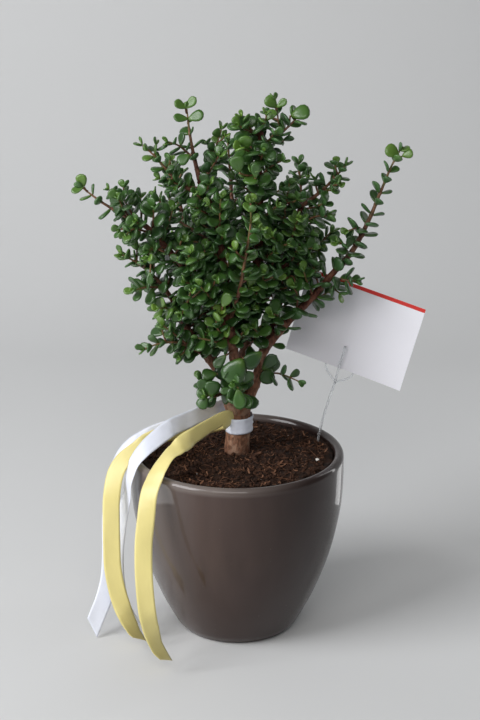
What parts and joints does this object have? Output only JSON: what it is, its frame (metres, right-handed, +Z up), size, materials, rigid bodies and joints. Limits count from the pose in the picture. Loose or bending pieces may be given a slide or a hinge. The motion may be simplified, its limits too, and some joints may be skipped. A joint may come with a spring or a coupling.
{
  "type": "potted jade plant",
  "caption": "Small succulent shrub with opposite round leaves on a forked woody trunk, in a round glazed pot, with satin ribbon tails and a blank card on a clear pick.",
  "frame": {"origin": "centre of the pot's flat base, on the surface that it stands on", "axes": "+Z up along the pot's axis; the front of the plant faces -Y, with the ribbons at its left, -X, and the card at its right, +X"},
  "size_m": [0.2997, 0.2076, 0.4703],
  "materials": {
    "glaze": "glossy taupe-brown glaze",
    "soil": "loose dark peat with coir fibres",
    "bark": "smooth red-brown succulent bark",
    "leaf": "glossy fleshy leaf",
    "ribbon_white": "white satin",
    "ribbon_yellow": "pale yellow satin",
    "card": "matte white card with a red edge",
    "clear_plastic": "clear moulded plastic"
  },
  "bodies": {
    "root": {"card": "card", "card_pick": "clear_plastic", "limb_back_left": "bark", "limb_back_mid": "bark", "limb_back_right": "bark", "limb_centre_stem": "bark", "limb_front_stem": "bark", "limb_left_low": "bark", "limb_left_upper": "bark", "limb_right_long": "bark", "limb_right_mid": "bark", "pot": "glaze", "ribbon_white_band": "ribbon_white", "ribbon_white_front": "ribbon_white", "ribbon_white_rear": "ribbon_white", "ribbon_yellow_front": "ribbon_yellow", "ribbon_yellow_rear": "ribbon_yellow", "shoot_back_left_low": "leaf", "shoot_back_left_tip": "leaf", "shoot_back_mid_tip": "leaf", "shoot_back_right_low": "leaf", "shoot_back_right_tip": "leaf", "shoot_base_front": "leaf", "shoot_base_left": "leaf", "shoot_base_right": "leaf", "shoot_centre_face": "leaf", "shoot_centre_right": "leaf", "shoot_crown_front": "leaf", "shoot_crown_left": "leaf", "shoot_crown_right": "leaf", "shoot_face_left": "leaf", "shoot_face_mid": "leaf", "shoot_front_shoot": "leaf", "shoot_front_tip": "leaf", "shoot_front_tip_left": "leaf", "shoot_left_face": "leaf", "shoot_left_hang": "leaf", "shoot_left_low_down": "leaf", "shoot_left_low_light": "leaf", "shoot_left_low_tip": "leaf", "shoot_left_mid_tip": "leaf", "shoot_left_upper_low": "leaf", "shoot_left_upper_tip": "leaf", "shoot_left_upright": "leaf", "shoot_low_left": "leaf", "shoot_right_face": "leaf", "shoot_right_long_low": "leaf", "shoot_right_long_mid": "leaf", "shoot_right_long_tip": "leaf", "shoot_right_long_up": "leaf", "shoot_right_mid_light": "leaf", "shoot_right_mid_low": "leaf", "shoot_right_mid_out": "leaf", "shoot_right_mid_tip": "leaf", "shoot_top_far_right": "leaf", "shoot_top_left": "leaf", "shoot_top_right": "leaf", "shoot_upper_left_tip": "leaf", "soil": "soil", "trunk": "bark"}
  },
  "joints": []
}
